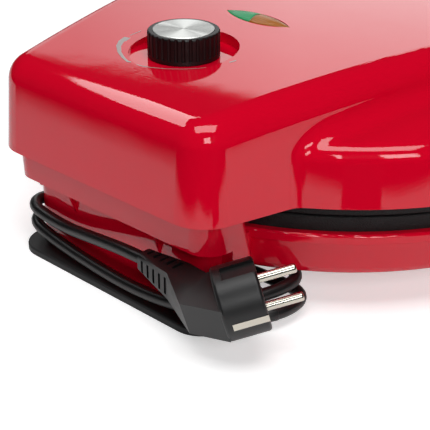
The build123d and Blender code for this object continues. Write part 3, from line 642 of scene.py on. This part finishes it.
# Mild steel, zinc plated after bending. It is satin grey, and duller than the screws.
hinge_steel, shader = new_material("hinge_steel_zinc_plated")
set_shader(shader, Base_Color=linear("#AEB1B5"), Metallic=1, Roughness=0.32)
paint_node("hinge_arms", hinge_steel)
paint_node("hinge_pins", hinge_steel)

# Lid casing
# One moulding of the same red ABS: a round domed cover and a raised console with a crowned top,
# run together with wide blends. The dish for the knob and the seat of the lens are in it.
paint_node("lid_housing", red_abs)

# Thermostat, lamp box and neon lamps
# The bimetal thermostat hangs under the console by the nut on its bush. The lamp box holds two
# neon lamps under the lens and keeps their light apart.

# Thermostat case, pressed, and nut, turned, both of nickel-plated steel, evenly bright.
thermostat_case, shader = new_material("thermostat_steel_nickel_plated")
set_shader(shader, Base_Color=linear("#C4BEB2"), Metallic=1, Roughness=0.3)
paint_node("thermostat", thermostat_case)
paint_node("thermostat_nut", thermostat_case)

# Lamp box, white polybutylene terephthalate, moulded, smooth and slightly glossy.
lamp_box_pbt, shader = new_material("lamp_box_pbt_moulded")
set_shader(shader, Base_Color=linear("#DEDCD5"), Roughness=0.4, IOR=1.55)
paint_node("lamp_box", lamp_box_pbt)

# Soda-lime glass, drawn tube with a pinched tip, clear and unlit.
lamp_glass, shader = new_material("lamp_glass_drawn")
set_shader(
    shader, Base_Color=linear("#F4F6F4"), Roughness=0.02, IOR=1.52, Transmission_Weight=1
)
paint_node("neon_lamps", lamp_glass)

# Pilot lens
# A lens of polycarbonate in two halves, green for ready and amber for mains. Its inside is
# moulded with rows of small prisms, which scatter the light of the lamps. It sits on the lamp
# box, in a hole through the console.
lens_pitch = 0.0013
lens_half_length = 0.024
lens_half_width = 0.00725
lens_middle_y = 0.070
lens_crown = 0.0026
lens_depth = 0.003
lens_sink = 0.0004
lens_blunt = 0.995
lens_steps = 16
lens_round = (lens_half_length**2 + lens_half_width**2) / (2 * lens_half_width)
lens_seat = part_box("green_lens")[1].z - lens_sink


def lens_half(name, side, material):
    """One domed half of the lens, from its middle to its point, on a flat back."""
    vertices, faces = [], []
    rows, columns = lens_steps + 1, lens_steps + 1
    for layer in (0, 1):
        for i in range(rows):
            u = lens_half_length * min(i / lens_steps, lens_blunt)
            reach = math.sqrt(lens_round**2 - u * u) - (lens_round - lens_half_width)
            for j in range(columns):
                v = 2 * j / lens_steps - 1
                rise = lens_crown * (1 - v * v) * reach / lens_half_width
                z = lens_seat - lens_depth if layer else lens_seat + rise
                vertices.append((side * u, lens_middle_y + v * reach, z))

    def index(layer, i, j):
        return layer * rows * columns + i * columns + j

    for layer in (0, 1):
        for i in range(rows - 1):
            for j in range(columns - 1):
                quad = [
                    index(layer, i, j),
                    index(layer, i + 1, j),
                    index(layer, i + 1, j + 1),
                    index(layer, i, j + 1),
                ]
                faces.append(quad if (side > 0) == (layer == 0) else quad[::-1])
    for i in range(rows - 1):
        for j, turn in ((0, 1), (columns - 1, -1)):
            quad = [index(0, i, j), index(1, i, j), index(1, i + 1, j), index(0, i + 1, j)]
            faces.append(quad if turn * side > 0 else quad[::-1])
    for j in range(columns - 1):
        for i, turn in ((0, -1), (rows - 1, 1)):
            quad = [index(0, i, j), index(1, i, j), index(1, i, j + 1), index(0, i, j + 1)]
            faces.append(quad if turn * side > 0 else quad[::-1])
    obj = add_mesh(name, vertices, faces, material)
    top_faces = (rows - 1) * (columns - 1)
    for number, polygon in enumerate(obj.data.polygons):
        polygon.use_smooth = number < top_faces
    return obj


# Tinted polycarbonate, injection moulded. The surface is smooth, and the prisms under it show as
# rows of dots one lens_pitch apart.
for node_name, tone, side in (("green_lens", "#0DAA66", 1), ("amber_lens", "#B9701E", -1)):
    tinted, shader = new_material(f"{node_name}_polycarbonate")
    set_shader(
        shader,
        Base_Color=linear(tone),
        Roughness=0.22,
        IOR=1.585,
        Transmission_Weight=0.2,
    )
    tree = tinted.node_tree
    place = add_node(tree, "ShaderNodeTexCoord")
    prisms = add_node(
        tree,
        "ShaderNodeTexVoronoi",
        {"Vector": (place, "Object"), "Scale": 1 / lens_pitch, "Randomness": 0.0},
    )
    bump = add_node(
        tree,
        "ShaderNodeBump",
        {"Height": (prisms, "Distance"), "Strength": 0.5, "Distance": 0.0005},
        invert=True,
    )
    link(tree, bump, "Normal", shader, "Normal")
    half_lens = lens_half(f"{node_name}_domed", side, tinted)
    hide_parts(node_name)
    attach(half_lens, "lid")

# Dial print
# The heat scale round the knob, a crescent that widens as the heat rises, pad printed in silver
# ink on the console and down into the dish.
dish_centre_y = 0.1285
dish_radius = 0.030
dish_floor = 0.1194
console_top = 0.1285
console_crown_radius = 1.5
print_thickness = 0.00008
pieces_per_stretch = 6


def console_height(x, y):
    """The height of the console's surface, crowned outside the dish."""
    inside = math.hypot(x, y - dish_centre_y) < dish_radius
    return dish_floor if inside else console_top - y * y / (2 * console_crown_radius)


# Silver pad-printing ink, fine aluminium flake in a binder, satin.
silver_ink, shader = new_material("dial_ink_silver_printed")
set_shader(shader, Base_Color=linear("#B9B0AE"), Metallic=0.35, Roughness=0.4)

crescent = [
    (0.0374, 0.1354, 0.0041),
    (0.0356, 0.1411, 0.0041),
    (0.0319, 0.1462, 0.0036),
    (0.0253, 0.1517, 0.0028),
    (0.0181, 0.1557, 0.0021),
    (0.0119, 0.1581, 0.0016),
    (0.0100, 0.1576, 0.0014),
]
tail = [
    (0.0088, 0.1571, 0.0013),
    (0.0075, 0.1569, 0.0012),
    (0.0042, 0.1566, 0.0010),
    (-0.0015, 0.1548, 0.0008),
    (-0.0092, 0.1506, 0.0006),
    (-0.0158, 0.1447, 0.0006),
    (-0.0211, 0.1377, 0.0005),
    (-0.0249, 0.1309, 0.0005),
    (-0.0264, 0.1266, 0.0004),
]
mark_off = [(-0.0332, 0.1279, 0.0012), (-0.0341, 0.1239, 0.0012)]
mark_high = [(0.0384, 0.1243, 0.0007), (0.0384, 0.1326, 0.0007)]


def ribbon(name, stations, material):
    """A thin printed band through (x, y, width) stations, laid on the console's surface."""
    vertices, faces, fine = [], [], []
    for (xa, ya, wa), (xb, yb, wb) in zip(stations, stations[1:]):
        for k in range(pieces_per_stretch):
            t = k / pieces_per_stretch
            fine.append((xa + (xb - xa) * t, ya + (yb - ya) * t, wa + (wb - wa) * t))
    fine.append(stations[-1])
    for i, (x, y, width) in enumerate(fine):
        before, after = fine[max(i - 1, 0)], fine[min(i + 1, len(fine) - 1)]
        dx, dy = after[0] - before[0], after[1] - before[1]
        size = math.hypot(dx, dy)
        for side in (-0.5, 0.5):
            px, py = x - dy / size * width * side, y + dx / size * width * side
            vertices.append((px, py, console_height(x, y) + print_thickness))
    for i in range(len(fine) - 1):
        faces.append((2 * i, 2 * i + 1, 2 * i + 3, 2 * i + 2))
    obj = add_mesh(name, vertices, faces, material)
    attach(obj, "lid")


ribbon("dial_crescent", crescent, silver_ink)
ribbon("dial_tail", tail, silver_ink)
ribbon("dial_mark_off", mark_off, silver_ink)
ribbon("dial_mark_high", mark_high, silver_ink)

# Control knob
# A fluted knob of black ABS, pressed on the steel shaft of the thermostat. A disc of aluminium,
# faced on a lathe, is glued in its top.

# ABS, black, moulded with a fine satin so the flutes show as soft light and dark lines.
knob_abs, shader = new_material("knob_black_abs_satin")
set_shader(shader, Base_Color=linear("#060506"), Roughness=0.45, IOR=1.54)
paint_node("control_knob", knob_abs)

# Aluminium, faced on a lathe. The marks of the tool run round the axis, so the light gathers in
# bright sectors that meet at the centre.
cap_aluminium, shader = new_material("cap_aluminium_faced")
set_shader(
    shader, Base_Color=linear("#C9CBC8"), Metallic=1, Roughness=0.24, Anisotropic=1.0
)
tree = cap_aluminium.node_tree
place = add_node(tree, "ShaderNodeTexCoord")
from_axis = add_node(
    tree,
    "ShaderNodeVectorMath",
    {0: (place, "Object"), 1: (0, dish_centre_y, 0)},
    operation="SUBTRACT",
)
round_axis = add_node(
    tree,
    "ShaderNodeVectorMath",
    {0: (from_axis, "Vector"), 1: (0, 0, 1)},
    operation="CROSS_PRODUCT",
)
marks = add_node(
    tree,
    "ShaderNodeVectorTransform",
    {"Vector": (round_axis, "Vector")},
    vector_type="VECTOR",
    convert_from="OBJECT",
    convert_to="WORLD",
)
link(tree, marks, "Vector", shader, "Tangent")
paint_node("knob_cap", cap_aluminium)

# Steel shaft, turned and nickel plated.
shaft_steel, shader = new_material("shaft_steel_turned")
set_shader(shader, Base_Color=linear("#BDB9B1"), Metallic=1, Roughness=0.25)
paint_node("thermostat_shaft", shaft_steel)

# Plug
# A moulded-on earthed plug. The body is overmoulded in flexible PVC round the ends of the cord,
# the two pins are solid brass, and the earth strips are spring brass, all nickel plated.

# PVC, black, overmoulded in a fine sand-blasted tool. It is duller than the cord's sheath, and
# its edges catch a grey bloom. The grain is drawn 0.5 mm wide, coarser than the real one.
blasted_grain = 0.0005
plug_pvc, shader = new_material("plug_pvc_overmoulded")
set_shader(shader, Base_Color=linear("#0F0F10"), Roughness=0.4, IOR=1.53)
place = add_node(plug_pvc.node_tree, "ShaderNodeTexCoord")
blasted = add_node(
    plug_pvc.node_tree,
    "ShaderNodeTexNoise",
    {"Vector": (place, "Object"), "Scale": 1 / blasted_grain, "Detail": 2},
)
bump = add_node(
    plug_pvc.node_tree,
    "ShaderNodeBump",
    {"Height": (blasted, "Fac"), "Strength": 0.25, "Distance": 0.0002},
)
link(plug_pvc.node_tree, bump, "Normal", shader, "Normal")
paint_node("plug_body", plug_pvc)

# Brass, turned and bright nickel plated, warm white and nearly mirror-like.
nickel, shader = new_material("plug_brass_nickel_plated")
set_shader(shader, Base_Color=linear("#D6D1C4"), Metallic=1, Roughness=0.16)
paint_node("plug_pins", nickel)
paint_node("earth_clips", nickel)
